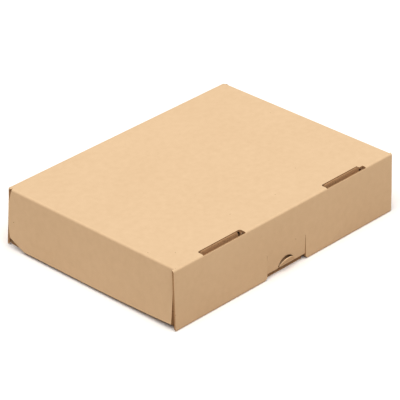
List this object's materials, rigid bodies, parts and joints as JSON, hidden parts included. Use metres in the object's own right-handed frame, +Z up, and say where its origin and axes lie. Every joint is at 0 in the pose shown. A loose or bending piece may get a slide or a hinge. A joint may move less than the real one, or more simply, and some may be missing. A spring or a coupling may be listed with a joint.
{
  "type": "large letter mailer box",
  "caption": "Flat folded corrugated card mailer with a roll-over locked front wall, a half-moon finger tab over a shallow window, and a hinged tuck-in lid, shown lying on its lid.",
  "frame": {"origin": "centre of the bounding box in plan, on the ground the lid lies on", "axes": "+X runs along the long front edge, +Y from the front wall with the half-moon tab to the back wall with the lid's fold, +Z up to the slotted panel"},
  "size_m": [0.2294, 0.1744, 0.048],
  "materials": {
    "kraft_board": "matt brown kraft liner over corrugated board"
  },
  "bodies": {
    "lid": {"lid": "kraft_board"},
    "tray": {"tray": "kraft_board"}
  },
  "joints": [
    {"name": "lid_fold", "type": "hinge", "parent": "lid", "child": "tray", "pos_m": [0, 0.08661, 0.00056], "axis": [-1, 0, 0], "range_deg": [0, 90]}
  ]
}
